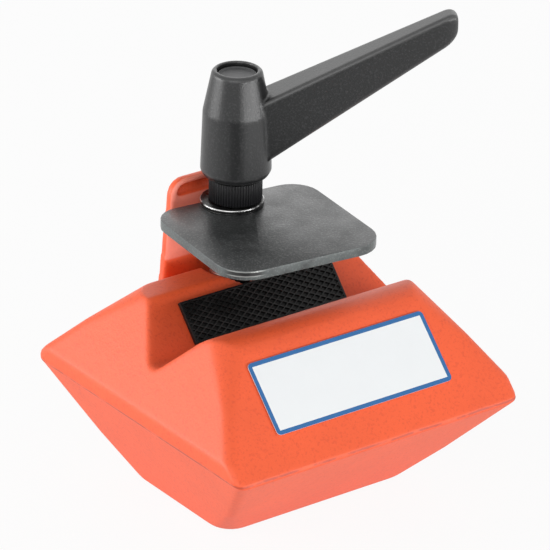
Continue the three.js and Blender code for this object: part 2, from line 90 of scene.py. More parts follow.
camera_data = bpy.data.cameras.new("camera")
camera_data.sensor_width = 36
camera_data.lens = focal_pixels / photo_side * camera_data.sensor_width
camera_data.clip_start = 0.05
camera_data.clip_end = 20
camera = bpy.data.objects.new("camera", camera_data)
bpy.context.collection.objects.link(camera)
camera.matrix_world = Matrix.Translation(target + toward_camera * camera_distance) @ (
    Matrix((side, above, -aim)).transposed().to_4x4()
)
bpy.context.scene.camera = camera
print("camera lens in mm:", round(camera_data.lens, 1))

# %% [markdown]
# ## The room
# The photograph is lit by large soft sources around white paper. A room of one pale colour does most of that.
# It lights the weight at less than half of white, so that no colour is washed out, while the camera and all
# glossy faces see it as white. Light Path tells the two kinds of ray apart. Nodes are added in code by one
# small helper, which the later cells use too.

# %% Set the view and the room
def add_node(tree, kind, values=None, **settings):
    """Add a node, set its options, then its sockets by name or number, each to a link or a plain value."""
    node = tree.nodes.new(kind)
    for label, value in settings.items():
        setattr(node, label, value)
    for label, value in (values or {}).items():
        if isinstance(value, bpy.types.NodeSocket):
            tree.links.new(value, node.inputs[label])
        else:
            node.inputs[label].default_value = value
    return node


def math_of(tree, operation, first, second=0.5):
    """A maths node; an operation on one value ignores the second."""
    return add_node(tree, "ShaderNodeMath", {0: first, 1: second}, operation=operation).outputs[0]


white = (1, 1, 1, 1)
even_light, seen_light = 0.4, 1.0
bpy.context.scene.view_settings.view_transform = "Standard"
world = bpy.data.worlds.new("white_room")
bpy.context.scene.world = world
world.use_nodes = True
room = world.node_tree
lighting = room.nodes["Background"]
lighting.inputs["Color"].default_value = white
lighting.inputs["Strength"].default_value = even_light
white_view = add_node(room, "ShaderNodeBackground", {"Color": white, "Strength": seen_light})
rays = add_node(room, "ShaderNodeLightPath").outputs
seen = math_of(room, "MAXIMUM", rays["Is Camera Ray"], rays["Is Transmission Ray"])
seen_or_mirrored = math_of(room, "MAXIMUM", seen, rays["Is Glossy Ray"])
room_mix = add_node(
    room, "ShaderNodeMixShader", {"Fac": seen_or_mirrored, 1: lighting.outputs[0], 2: white_view.outputs[0]}
)
room.links.new(room_mix.outputs[0], room.nodes["World Output"].inputs["Surface"])
print("room lights at", even_light, "of white")

# %% [markdown]
# ## The lamps
# Four area lamps give the shape: the left faces and the rims of the lever shine, and the underside gets some
# light from low in front. They are wide and weak. A small bright lamp would be mirrored as a hard white strip
# wherever a face is seen at a low angle.

# %% Hang the lamps
lamp_target = Vector((0, 0, 0.07))


def area_lamp(name, place, width, height, watts):
    """A soft lamp of the given width and height that looks at the middle of the weight."""
    lamp_data = bpy.data.lights.new(name, "AREA")
    lamp_data.shape = "RECTANGLE"
    lamp_data.size = width
    lamp_data.size_y = height
    lamp_data.energy = watts
    lamp = bpy.data.objects.new(name, lamp_data)
    bpy.context.collection.objects.link(lamp)
    lamp.location = place
    lamp.rotation_euler = (lamp_target - Vector(place)).to_track_quat("-Z", "Y").to_euler()
    print(f"{name}: {watts} W over {width} x {height} m")


area_lamp("key_left", (-1.06, 0.63, 0.24), width=1.0, height=0.46, watts=10.5)
area_lamp("front_left", (-0.95, -0.78, 0.68), width=0.9, height=0.9, watts=5.1)
area_lamp("low_front_right", (0.38, -1.20, 0.08), width=1.8, height=0.15, watts=12.5)
area_lamp("back_right", (0.72, 0.98, 0.64), width=1.2, height=1.2, watts=3.2)

# %% [markdown]
# ## The floor
# The weight stands on plain white paper, a hair under its foot so that the two faces don't flicker. The camera
# sees the paper glow almost white. The small share that doesn't glow keeps the weight's soft shadow.

# %% Lay the floor
floor_size, floor_gap = 6, 0.0002
camera_glow_share = 0.93


def new_material(name, colour, roughness, metallic=0.0, coat=0.0):
    """A material with plain values on its shader; the nodes come after."""
    material = bpy.data.materials.new(name)
    material.use_nodes = True
    shader = material.node_tree.nodes["Principled BSDF"]
    shader.inputs["Base Color"].default_value = (*colour, 1.0)
    shader.inputs["Roughness"].default_value = roughness
    shader.inputs["Metallic"].default_value = metallic
    shader.inputs["Coat Weight"].default_value = coat
    return material, material.node_tree, shader


bpy.ops.object.select_all(action="DESELECT")
bpy.ops.mesh.primitive_plane_add(size=floor_size, location=(0, 0, -floor_gap))
floor = bpy.context.object
floor.name = "floor"
bpy.ops.object.transform_apply(location=True, rotation=True, scale=True)
white_paper, paper, paper_shader = new_material("white_paper", (0.82, 0.82, 0.82), 0.9)
rays = add_node(paper, "ShaderNodeLightPath").outputs
glow = add_node(paper, "ShaderNodeEmission", {"Color": white})
glow_share = math_of(paper, "MULTIPLY", rays["Is Camera Ray"], camera_glow_share)
paper_mix = add_node(
    paper, "ShaderNodeMixShader", {"Fac": glow_share, 1: paper_shader.outputs[0], 2: glow.outputs[0]}
)
floor.data.materials.append(white_paper)
print("floor laid over", floor_size, "m")

# %% [markdown]
# ## What glossy faces see of the floor
# The mirrored paper gives the lower faces of the weight their pale haze. The photographed hub has a dark middle,
# probably because the paper ends in front of the set and the studio there is dark. So the mirrored glow fades
# in a wedge of floor in front of the weight, and it is a little weaker under the weight too. Both are fixed in
# the floor's own coordinates and stay where they are when the camera moves.

# %% Shade the floor's mirror image
def place_on(tree):
    """The place on the piece, in its own coordinates, in metres."""
    return add_node(tree, "ShaderNodeTexCoord").outputs["Object"]


def vector_of(tree, operation, first, second=(0, 0, 0)):
    """A vector maths node that gives a number."""
    return add_node(tree, "ShaderNodeVectorMath", {0: first, 1: second}, operation=operation).outputs["Value"]


def range_of(tree, value, low, high, at_low, at_high):
    """An even ramp between two values, level outside low and high."""
    limits = {0: value, 1: low, 2: high, 3: at_low, 4: at_high}
    return add_node(tree, "ShaderNodeMapRange", limits).outputs[0]


place = place_on(paper)
ahead = (-math.sin(camera_turn), -math.cos(camera_turn), 0)
across = (math.cos(camera_turn), -math.sin(camera_turn), 0)
wedge_slope, wedge_start, wedge_end, wedge_glow = 1.5, 0.07, 0.17, 0.12
foot_start, foot_end, foot_glow = 0.10, 0.20, 0.9
forward = vector_of(paper, "DOT_PRODUCT", place, ahead)
sideways = math_of(paper, "ABSOLUTE", vector_of(paper, "DOT_PRODUCT", place, across))
into_wedge = math_of(paper, "SUBTRACT", forward, math_of(paper, "MULTIPLY", sideways, wedge_slope))
in_wedge = range_of(paper, into_wedge, wedge_start, wedge_end, 1.0, wedge_glow)
near_foot = range_of(paper, vector_of(paper, "LENGTH", place), foot_start, foot_end, foot_glow, 1.0)
mirror_glow = add_node(
    paper, "ShaderNodeEmission", {"Strength": math_of(paper, "MULTIPLY", in_wedge, near_foot)}
)
paper_seen = add_node(
    paper,
    "ShaderNodeMixShader",
    {"Fac": rays["Is Glossy Ray"], 1: paper_mix.outputs[0], 2: mirror_glow.outputs[0]},
)
paper.links.new(paper_seen.outputs[0], paper.nodes["Material Output"].inputs["Surface"])
print("mirrored glow fades towards", [round(part, 2) for part in ahead])

# %% [markdown]
# ## Tools for shaping
# Each new piece starts from a primitive or from a copy of its CAD shape, and is shaped with the edit-mode
# operators. An operator works on whatever is selected, so everything is deselected first. Faces and edges are
# then picked in code, by their place or their normal, as one would click on them.

# %% Helpers that start, pick and place
def take_only(piece):
    """Select one object and make it active."""
    if bpy.context.object and bpy.context.object.mode != "OBJECT":
        bpy.ops.object.mode_set(mode="OBJECT")
    bpy.ops.object.select_all(action="DESELECT")
    piece.select_set(True)
    bpy.context.view_layer.objects.active = piece


def name_new(name):
    """Name the primitive that was just added and apply its place."""
    piece = bpy.context.object
    piece.name = name
    piece.data.name = name
    bpy.ops.object.transform_apply(location=True, rotation=True, scale=True)
    return piece


def pick(piece, what, test=lambda item: True):
    """In edit mode, select only the faces, edges or verts that pass the test."""
    take_only(piece)
    bpy.ops.object.mode_set(mode="EDIT")
    bpy.ops.mesh.select_mode(type=what)
    bpy.ops.mesh.select_all(action="DESELECT")
    shape = bmesh.from_edit_mesh(piece.data)
    for item in {"FACE": shape.faces, "EDGE": shape.edges, "VERT": shape.verts}[what]:
        if test(item):
            item.select_set(True)
    shape.select_flush_mode()
    bmesh.update_edit_mesh(piece.data)


def leave_edit():
    bpy.ops.object.mode_set(mode="OBJECT")


def faces_up(face):
    return face.normal.z > 0.9


def put(piece, tilt=0.0, place=(0, 0, 0), size=(1, 1, 1)):
    """Size the piece, tilt it about X, move it, and apply all that to its mesh."""
    take_only(piece)
    piece.scale = size
    piece.rotation_euler = (tilt, 0, 0)
    piece.location = place
    bpy.ops.object.transform_apply(location=True, rotation=True, scale=True)


def welded_copy(node, name):
    """A welded copy of a CAD node's mesh, as a start for a finished piece."""
    bpy.ops.object.select_all(action="DESELECT")
    piece = bpy.data.objects.new(name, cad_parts[node].data.copy())
    piece.data.name = name
    piece.data.materials.clear()
    bpy.context.collection.objects.link(piece)
    pick(piece, "FACE")
    bpy.ops.mesh.remove_doubles(threshold=0.00001)
    bpy.ops.mesh.dissolve_limited(angle_limit=math.radians(0.4))
    leave_edit()
    return piece


print("tools to start, pick and place are ready")

# %% [markdown]
# No real edge is sharp. A punched or turned piece gets a bevel. A casting is rounder and softer: its shape is
# turned into an even skin of small squares, and each point of the skin then relaxes towards its neighbours a
# few times.

# %% Helpers that soften
def apply_all(piece):
    """Apply every modifier of the piece, in order."""
    take_only(piece)
    for modifier in list(piece.modifiers):
        bpy.ops.object.modifier_apply(modifier=modifier.name)


def bevel_edges(piece, width, segments, angle):
    modifier = piece.modifiers.new("soft_edges", "BEVEL")
    modifier.width = width
    modifier.segments = segments
    modifier.limit_method = "ANGLE"
    modifier.angle_limit = math.radians(angle)
    apply_all(piece)


def cast_skin(piece, square, rounds):
    """Turn the piece into an even skin of small squares and relax it a number of times."""
    skin = piece.modifiers.new("even_skin", "REMESH")
    skin.mode = "VOXEL"
    skin.voxel_size = square
    relax = piece.modifiers.new("relax", "SMOOTH")
    relax.factor = 0.5
    relax.iterations = rounds
    apply_all(piece)


def smooth_shade(piece, angle):
    take_only(piece)
    bpy.ops.object.shade_smooth_by_angle(angle=math.radians(angle))


print("tools to soften are ready")

# %% [markdown]
# Wear, dirt and painted light follow the form, so each piece carries marks that its finish reads. On a cast skin
# a mark says how much the skin bulges. On a punched piece the rim is marked by the way its faces point. A last
# helper seats
# the piece: it rides on its CAD body and stands for its CAD node.

# %% Helpers that mark and seat
def mark_edges(piece, reach, rounds=3):
    """Store on each vert how much the skin bulges there, from -1 in a hollow to 1 on an edge."""
    shape = bmesh.new()
    shape.from_mesh(piece.data)
    around = [[edge.other_vert(vert).index for edge in vert.link_edges] for vert in shape.verts]
    places = [vert.co.copy() for vert in shape.verts]
    bulge = []
    for vert, near in zip(shape.verts, around):
        middle = sum((places[number] for number in near), Vector()) / len(near)
        bulge.append((vert.co - middle).dot(vert.normal) / reach)
    shape.free()
    for _ in range(rounds):
        bulge = [
            (own + sum(bulge[number] for number in near)) / (len(near) + 1) for own, near in zip(bulge, around)
        ]
    store = piece.data.attributes.new("edge", "FLOAT", "POINT")
    store.data.foreach_set("value", [max(-1.0, min(1.0, value)) for value in bulge])
    print(f"{piece.name}: edge marks from {min(bulge):.2f} to {max(bulge):.2f}")


def mark_rims(piece, side_mark=0.0):
    """Store 1 on each face of a rounded rim, a mark of its own on the sides, and 0 on the flats."""
    upright, level = 0.12, 0.98
    store = piece.data.attributes.new("edge", "FLOAT", "FACE")
    values = []
    for face in piece.data.polygons:
        steep = abs(face.normal.z)
        values.append(side_mark if steep < upright else float(steep < level))
    store.data.foreach_set("value", values)


def seat(piece, body, slot, *nodes):
    """Ride on a CAD body and stand for CAD nodes; the slot is not used."""
    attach(piece, body)
    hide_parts(*nodes)
    triangles = sum(len(face.vertices) - 2 for face in piece.data.polygons)
    print(f"{piece.name}: {triangles} triangles on {body}")


print("tools to mark and seat are ready")

# %% [markdown]
# ## Shared effects for the finishes
# A finish is more than a colour. The same few effects turn up on every piece: colour that is a little uneven,
# fine grain, and scattered specks. They work in the object's own coordinates, so a texture keeps its size in
# millimetres and stays on the piece when it moves.

# %% Helpers for masks and colours
def noise_at(tree, scale, detail=3.0, roughness=0.55):
    """Noise in the object's own coordinates; a feature is about 1/scale metres."""
    values = {"Vector": place_on(tree), "Scale": scale, "Detail": detail, "Roughness": roughness}
    return add_node(tree, "ShaderNodeTexNoise", values).outputs[0]


def step_between(tree, value, low, high):
    """A soft step: 0 at low, 1 at high."""
    limits = {0: value, 1: low, 2: high}
    return add_node(tree, "ShaderNodeMapRange", limits, interpolation_type="SMOOTHSTEP").outputs[0]


def times(tree, first, second):
    """The product of two masks, or of a mask and a number."""
    return math_of(tree, "MULTIPLY", first, second)


def blend_in(tree, under, over, mask, share=None):
    """Lay a colour over another where the mask is 1, or only a share of it."""
    if share is not None:
        mask = times(tree, mask, share)
    return add_node(tree, "ShaderNodeMix", {0: mask, 6: under, 7: over}, data_type="RGBA").outputs[2]


# %% [markdown]
# Node groups keep an effect in one place. The first makes a colour a little darker and lighter in soft
# blotches, as every coat and moulding is. The second scatters round specks by the distance to the nearest of
# many random points.

# %% Make the two shared node groups
def new_group(name, inputs, outputs):
    """An empty node group with value or colour sockets, what it is given and what it gives."""
    group = bpy.data.node_groups.new(name, "ShaderNodeTree")
    for label, value in inputs.items():
        kind = "NodeSocketColor" if isinstance(value, tuple) else "NodeSocketFloat"
        socket = group.interface.new_socket(label, in_out="INPUT", socket_type=kind)
        socket.default_value = value
    for label, kind in outputs.items():
        group.interface.new_socket(label, in_out="OUTPUT", socket_type=kind)
    return group, group.nodes.new("NodeGroupInput").outputs, group.nodes.new("NodeGroupOutput").inputs


uneven, given, result = new_group(
    "uneven_colour",
    {"Colour": (0.5, 0.5, 0.5, 1.0), "Size": 60.0, "Amount": 0.1},
    {"Colour": "NodeSocketColor", "Mask": "NodeSocketFloat"},
)
blotches = noise_at(uneven, given["Size"])
swing = times(uneven, math_of(uneven, "SUBTRACT", blotches, 0.5), given["Amount"])
brightness = math_of(uneven, "ADD", times(uneven, swing, 2.0), 1.0)
shade = add_node(uneven, "ShaderNodeHueSaturation", {"Color": given["Colour"], "Value": brightness})
uneven.links.new(shade.outputs[0], result["Colour"])
uneven.links.new(blotches, result["Mask"])

specks, given, result = new_group("specks", {"Size": 900.0, "Share": 0.3}, {"Mask": "NodeSocketFloat"})
points = add_node(specks, "ShaderNodeTexVoronoi", {"Vector": place_on(specks), "Scale": given["Size"]})
dots = math_of(specks, "LESS_THAN", points.outputs["Distance"], given["Share"])
specks.links.new(dots, result["Mask"])
print("node groups:", [group.name for group in bpy.data.node_groups])

# %% [markdown]
# ## The finishes
# Each finish starts as plain values on the shader and an uneven colour from the first group. What the real
# surface shows is laid over that: grain, wear along the edges, dust, and a bump for its skin. Some finishes also
# carry painted highlights and painted shade, named where they are laid. The edge marks are numbers that the
# shaping cells store on each piece: high on its edges, low in its hollows.

# %% Helpers for the finishes
def new_finish(name, colour, roughness, size, amount, metallic=0.0, coat=0.0, nodes_colour=None):
    """A material with its tree, its shader and an uneven colour, in blotches of 1/size metres."""
    material, tree, shader = new_material(name, colour, roughness, metallic, coat)
    values = {"Colour": (*(nodes_colour or colour), 1), "Size": size, "Amount": amount}
    uneven_colour = add_node(tree, "ShaderNodeGroup", values, node_tree=uneven).outputs["Colour"]
    print("finish:", name)
    return material, tree, shader, uneven_colour


def feed(tree, shader, socket, value):
    """Link a value that changes over the surface to a socket of the shader."""
    tree.links.new(value, shader.inputs[socket])


def add_bump(tree, shader, height, distance, strength):
    bump = add_node(tree, "ShaderNodeBump", {"Height": height, "Distance": distance, "Strength": strength})
    feed(tree, shader, "Normal", bump.outputs[0])


def edge_marks(tree):
    return add_node(tree, "ShaderNodeAttribute", attribute_name="edge").outputs["Fac"]


def along(tree, axis):
    """How far along X, Y or Z the place on the piece is."""
    return add_node(tree, "ShaderNodeSeparateXYZ", {0: place_on(tree)}).outputs[axis]


def away_from(tree, value, level):
    """How far a value is from a level, either way."""
    return math_of(tree, "ABSOLUTE", math_of(tree, "SUBTRACT", value, level))


# %% [markdown]
# The casting has a thick orange-red powder coat, baked on. It flows into an orange-peel skin with darker grain,
# and it is darker red in its hollows. The coat is only half glossy, so the shader's clear layer is weak and
# rough.

# %% Make the powder coat
coat_red = (0.84, 0.105, 0.026)
grain_red = (0.62, 0.05, 0.015, 1)
coating, tree, shader, even_coat = new_finish("orange_red_powder_coat", coat_red, 0.55, 45.0, 0.10, coat=0.22)
shader.inputs["Coat Roughness"].default_value = 0.45
fine_grain = noise_at(tree, 1100.0, detail=2.0)
grained = blend_in(tree, even_coat, grain_red, step_between(tree, fine_grain, 0.5, 0.72), 0.42)

# %% [markdown]
# Where the two halves of the mould met, a dark hairline runs round the casting: painted shade, where the edge
# of the upper half overhangs the lower. It wanders by a fraction of a millimetre and is broken in places. The
# upright lug face under the plate is painted a paler red: painted light for the bright light it catches.

# %% Draw the parting line's painted shade and the painted light on the lug
seam_shade_red, lug_light_red, hollow_red = (0.30, 0.03, 0.02, 1), (1.0, 0.36, 0.28, 1), (0.40, 0.035, 0.015, 1)
seam_wander, seam_edge, seam_core = 0.0008, 0.0006, 0.0001
wander = times(tree, math_of(tree, "SUBTRACT", noise_at(tree, 90.0), 0.5), seam_wander)
above_seam = math_of(tree, "ADD", math_of(tree, "SUBTRACT", along(tree, "Z"), parting_height), wander)
seam = step_between(tree, math_of(tree, "ABSOLUTE", above_seam), seam_edge, seam_core)
broken_seam = times(tree, seam, step_between(tree, noise_at(tree, 130.0), 0.35, 0.55))
# The dark seam colour is painted shade under the edge of the upper half.
seam_shaded = blend_in(tree, grained, seam_shade_red, broken_seam, 0.6)

lug_front_y, front_edge, front_core = 0.0359, 0.0011, 0.0006
lug_foot_z, lug_foot_blend = 0.0681, 0.0009
on_front = step_between(tree, away_from(tree, along(tree, "Y"), lug_front_y), front_edge, front_core)
above_foot = step_between(tree, along(tree, "Z"), lug_foot_z, lug_foot_z + lug_foot_blend)
# The pale lug colour is painted light on the upright lug face.
lug_lit = blend_in(tree, seam_shaded, lug_light_red, times(tree, on_front, above_foot), 0.6)

# %% [markdown]
# Last come a darker red in the hollows and the bump: the fine grain and a coarser swell make the orange peel, and
# the seam is cut into it.

# %% Finish the powder coat
# darker red where the skin is hollow
hollow_darkened = blend_in(tree, lug_lit, hollow_red, step_between(tree, edge_marks(tree), 0.0, -0.5), 0.35)
feed(tree, shader, "Base Color", hollow_darkened)
peel = math_of(tree, "ADD", fine_grain, times(tree, noise_at(tree, 260.0), 1.6))
add_bump(tree, shader, math_of(tree, "SUBTRACT", peel, times(tree, seam, 1.5)), 0.00012, 0.6)

# %% [markdown]
# The pads are black moulded rubber. It is dull, and the raised ridges, which carry edge marks, are painted a
# paler grey in patches: a painted highlight for the light they catch.

# %% Make the rubber
rubber_black, ridge_highlight_grey = (0.006, 0.006, 0.006), (0.05, 0.05, 0.05, 1)
rubber, tree, shader, even_rubber = new_finish("black_pad_rubber", rubber_black, 0.45, 120.0, 0.3)
shader.inputs["Specular IOR Level"].default_value = 0.3
# painted highlight: a paler grey on the ridge tops, in patches
ridge_highlight_patches = times(tree, edge_marks(tree), step_between(tree, noise_at(tree, 60.0), 0.35, 0.6))
feed(tree, shader, "Base Color", blend_in(tree, even_rubber, ridge_highlight_grey, ridge_highlight_patches))
add_bump(tree, shader, noise_at(tree, 2500.0), 0.00004, 0.5)

# %% [markdown]
# The label is a white film with a border in blue ink. Film on a painted casting is never quite flat, which a
# very soft wide bump shows. The ink is a little uneven, as screen print is.

# %% Make the label's film and ink
film_white, ink_blue = (0.82, 0.84, 0.85), (0.02, 0.13, 0.34)
label_white, tree, shader, even_film = new_finish("label_white_film", film_white, 0.42, 70.0, 0.02)
feed(tree, shader, "Base Color", even_film)
add_bump(tree, shader, noise_at(tree, 60.0), 0.0002, 0.3)
label_blue, tree, shader, even_ink = new_finish("label_blue_ink", ink_blue, 0.42, 300.0, 0.12)
feed(tree, shader, "Base Color", even_ink)

# %% [markdown]
# The plate has a dark coat full of fine light specks, and it is rubbed thin along its rim. The specks come from
# the second group, and the rim from the edge marks.

# %% Make the plate's speckled coat
plate_dark, speck_grey, rim_grey = (0.027, 0.029, 0.029), (0.12, 0.125, 0.125, 1), (0.15, 0.18, 0.175, 1)
plate_paint, tree, shader, even_plate = new_finish("plate_speckled_coat", plate_dark, 0.3, 55.0, 0.25)
shader.inputs["Specular IOR Level"].default_value = 0.65
speck_mask = add_node(tree, "ShaderNodeGroup", {"Size": 1250.0, "Share": 0.34}, node_tree=specks).outputs["Mask"]
speckled = blend_in(tree, even_plate, speck_grey, speck_mask, 0.55)
rubbed = times(tree, edge_marks(tree), step_between(tree, noise_at(tree, 140.0), 0.25, 0.55))
rimmed = blend_in(tree, speckled, rim_grey, rubbed, 0.8)

# %% [markdown]
# On the corner that points at the camera, two thin bright lines run round its side, with a dark band between
# them: painted highlights and a painted dark reflection. Both are masks of the depth below the plate's top, kept
# near that corner.

# %% Paint highlights on the plate's corner
corner_light_reach, left_bias = 0.0075, 0.08
upper_line, lower_line, line_edge, line_core = 0.0003, 0.0018, 0.00026, 0.00012
dark_reflection_black, highlight_grey = (0.006, 0.006, 0.006, 1), (0.30, 0.31, 0.30, 1)
# Painted highlights and a painted dark reflection band, near the corner that faces the camera.
plate_verts = [vert.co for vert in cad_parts["clamp_plate"].data.vertices]
lit_corner = max(plate_verts, key=lambda spot: spot.dot(toward_camera) - spot.dot(side) * left_bias).copy()
from_corner = vector_of(tree, "DISTANCE", place_on(tree), lit_corner)
near_corner = step_between(tree, from_corner, corner_light_reach, corner_light_reach * 0.55)
below_top = math_of(tree, "SUBTRACT", lit_corner.z, along(tree, "Z"))


def highlight_line_at(depth):
    """A thin painted highlight line at a depth below the plate's top, only near the lit corner."""
    level = step_between(tree, away_from(tree, below_top, depth), line_edge, line_core)
    return times(tree, times(tree, level, near_corner), step_between(tree, noise_at(tree, 450.0), 0.3, 0.42))


below_upper = step_between(tree, below_top, upper_line, upper_line + 0.0002)
above_lower = step_between(tree, below_top, lower_line, lower_line - 0.0003)
dark_reflected = blend_in(tree, rimmed, dark_reflection_black, times(tree, times(tree, below_upper, above_lower), near_corner))
corner_highlights = math_of(tree, "MAXIMUM", highlight_line_at(upper_line), highlight_line_at(lower_line))
feed(tree, shader, "Base Color", blend_in(tree, dark_reflected, highlight_grey, corner_highlights))
feed(tree, shader, "Metallic", times(tree, corner_highlights, 0.5))
feed(tree, shader, "Roughness", step_between(tree, noise_at(tree, 90.0), -0.7, 2.2))
add_bump(tree, shader, noise_at(tree, 1000.0), 0.00014, 0.6)
# the corner that carries the painted highlights
print("scuffed corner in mm:", [round(value * 1000, 1) for value in lit_corner])

# %% [markdown]
# Zinc plating is dull and stained on the flats and polished where it is rubbed. The washer under the lever is
# nearly black, partly dirt and partly painted shade for its shaded, darkly reflecting faces. Its rim is lighter
# in patches, partly polished and partly a painted glint. The stud and the screw are blackened steel.

# %% Make the three steels
zinc_plain, zinc_stained, zinc_polished = (0.6, 0.6, 0.58), (0.42, 0.42, 0.41), (0.78, 0.78, 0.77, 1)
zinc, tree, shader, even_zinc = new_finish(
    "bright_zinc_plate", zinc_plain, 0.3, 250.0, 0.3, metallic=1.0, nodes_colour=zinc_stained
)
polish_and_glint = step_between(tree, edge_marks(tree), 0.2, 0.8)
feed(tree, shader, "Base Color", blend_in(tree, even_zinc, zinc_polished, polish_and_glint))
feed(tree, shader, "Roughness", step_between(tree, noise_at(tree, 500.0), -0.4, 1.9))

washer_plain, washer_dark_and_shaded, washer_rim_polish_and_glint = (0.2, 0.2, 0.2), (0.035, 0.035, 0.035), (0.62, 0.62, 0.61, 1)
# the nearly black colour is partly dirt and partly painted shade
washer_steel, tree, shader, even_washer = new_finish(
    "stained_washer_steel", washer_plain, 0.3, 300.0, 0.5, metallic=0.9, nodes_colour=washer_dark_and_shaded
)
# the rim's lighter patches: partly polish, partly a painted glint
polish_and_glint = times(tree, edge_marks(tree), step_between(tree, noise_at(tree, 120.0), 0.36, 0.52))
feed(tree, shader, "Base Color", blend_in(tree, even_washer, washer_rim_polish_and_glint, polish_and_glint))
feed(tree, shader, "Roughness", step_between(tree, noise_at(tree, 600.0), -0.4, 1.9))

stud_black = (0.06, 0.06, 0.065)
dark_steel, tree, shader, even_steel = new_finish("blackened_steel", stud_black, 0.4, 300.0, 0.4, metallic=0.8)
feed(tree, shader, "Base Color", even_steel)

# %% [markdown]
# The insert is blackened and a little oily. The lever has a matte coat over die-cast metal, dusted with fine
# light grain and lighter along its edges: partly a thinner coat, partly a painted highlight. The cap is matte
# plastic.

# %% Make the lever's finishes
insert_dark = (0.006, 0.006, 0.007)
insert_black, tree, shader, even_insert = new_finish("insert_black_oxide", insert_dark, 0.45, 200.0, 0.4)
shader.inputs["Specular IOR Level"].default_value = 0.25
feed(tree, shader, "Base Color", even_insert)
add_bump(tree, shader, noise_at(tree, 900.0), 0.00004, 0.5)

lever_dark, lever_dust, lever_edge_wear_and_highlight = (0.009, 0.0094, 0.0098), (0.045, 0.045, 0.047, 1), (0.13, 0.13, 0.13, 1)
lever_coat, tree, shader, even_lever = new_finish("lever_matte_coat", lever_dark, 0.34, 80.0, 0.15)
fine_grain = noise_at(tree, 1500.0, detail=2.0)
dusted = blend_in(tree, even_lever, lever_dust, step_between(tree, fine_grain, 0.5, 0.7), 0.4)
# lighter edges: partly a thinner coat, partly a painted highlight
worn_and_highlit = blend_in(tree, dusted, lever_edge_wear_and_highlight, step_between(tree, edge_marks(tree), 0.10, 0.6), 0.5)
feed(tree, shader, "Base Color", worn_and_highlit)
add_bump(tree, shader, fine_grain, 0.00007, 0.6)

cap_grey = (0.065, 0.066, 0.068)
cap_plastic, tree, shader, even_cap = new_finish("cap_matte_plastic", cap_grey, 0.4, 150.0, 0.15)
feed(tree, shader, "Base Color", even_cap)
add_bump(tree, shader, noise_at(tree, 2200.0), 0.00003, 0.5)
print("finishes made:", len(bpy.data.materials))

# %% [markdown]
# ## The casting
# The weight itself is sand-cast iron: two wedges base to base, with the vee and the lug on top. Grit blasting
# and the thick coat leave no edge sharp. Bevels would have to be set edge by edge where so many faces meet, so
# a copy of the CAD shape gets the cast skin, which rounds every edge the way casting and coating do.

# %% Round the casting
casting = welded_copy("weight_casting", "coated_casting")
cast_skin(casting, square=0.00078, rounds=6)
mark_edges(casting, 0.0001)
smooth_shade(casting, 60)
casting.data.materials.append(coating)
seat(casting, "base", "coating", "weight_casting")

# %% [markdown]
# ## The jaw pads
# Rubber pads line both walls of the vee so that a tube is gripped and not scratched. They are moulded in a flat
# tool, with crossing ridges that leave diamond pockets, and a plain rim. One diamond is shaped: a flat face is
# inset, and its middle is pushed down. Arrays repeat it, and the rows are cut off inside the rim.

# %% Mould the lattice of a pad
pad_length, pad_thickness = 0.060, 0.0015
pocket_depth = 0.0007
half_long, half_wide = 0.00182, 0.00105
rim_cover = 0.0005


def pad_lattice(name, pad_width):
    """Crossing ridges over a pad of the given width, with their tops marked."""
    bpy.ops.mesh.primitive_circle_add(vertices=4, radius=1, fill_type="NGON")
    lattice = name_new(name)
    corner = (-pad_length / 2 - half_long, -pad_width / 2 - half_wide, pad_thickness / 2)
    put(lattice, place=corner, size=(half_long, half_wide, 1))
    pick(lattice, "FACE")
    bpy.ops.mesh.inset(thickness=0.00015, depth=0)
    bpy.ops.mesh.inset(thickness=0.00014, depth=-pocket_depth)
    leave_edit()
    ridge_top = lattice.data.attributes.new("edge", "FLOAT", "FACE")
    levels = [float(abs(face.center.z - pad_thickness / 2) < 0.00001) for face in lattice.data.polygons]
    ridge_top.data.foreach_set("value", levels)
    for count, step in ((2, (half_long, half_wide, 0)), (18, (half_long * 2, 0, 0)), (8, (0, half_wide * 2, 0))):
        row = lattice.modifiers.new("repeat", "ARRAY")
        row.count = count
        row.use_relative_offset = False
        row.use_constant_offset = True
        row.constant_offset_displace = step
    apply_all(lattice)
    pick(lattice, "FACE")
    bpy.ops.mesh.remove_doubles(threshold=0.00001)
    inside = (pad_length / 2 - rim_cover, pad_width / 2 - rim_cover)
    for axis, sign in ((0, 1), (0, -1), (1, 1), (1, -1)):
        away = Vector((0, 0, 0))
        away[axis] = sign
        bpy.ops.mesh.select_all(action="SELECT")
        bpy.ops.mesh.bisect(plane_co=away * inside[axis], plane_no=away, clear_outer=True)
    leave_edit()
    return lattice


print("diamonds in mm:", round(half_long * 2000, 2), "by", round(half_wide * 2000, 2))

# %% [markdown]
# The rim is a slab whose top is pushed down inside a border. It hides the cut ends of the ridges. Rim and
# lattice are joined, tilted to the wall of the vee and put where the CAD pad is.

# %% Mould the two pads
front_wall, rear_wall = math.radians(45), math.radians(48)


def centre_of(node):
    low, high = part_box(node)
    return (low + high) / 2


def make_pad(name, node, tilt, pad_width):
    lattice = pad_lattice(name, pad_width)
    bpy.ops.mesh.primitive_cube_add(size=1)
    rim = name_new(name + "_rim")
    put(rim, size=(pad_length, pad_width, pad_thickness))
    pick(rim, "FACE", faces_up)
    bpy.ops.mesh.inset(thickness=0.0008, depth=0)
    bpy.ops.mesh.inset(thickness=0.0001, depth=-pocket_depth - 0.0001)
    leave_edit()
    bevel_edges(rim, 0.00018, segments=2, angle=30)
    take_only(lattice)
    rim.select_set(True)
    bpy.ops.object.join()
    smooth_shade(lattice, 30)
    put(lattice, tilt=tilt, place=centre_of(node))
    lattice.data.materials.append(rubber)
    seat(lattice, "base", "pad_rubber", node)


make_pad("front_pad_diamond_rubber", "front_jaw_pad", -front_wall, 0.009)
make_pad("rear_pad_diamond_rubber", "rear_jaw_pad", rear_wall, 0.0144)

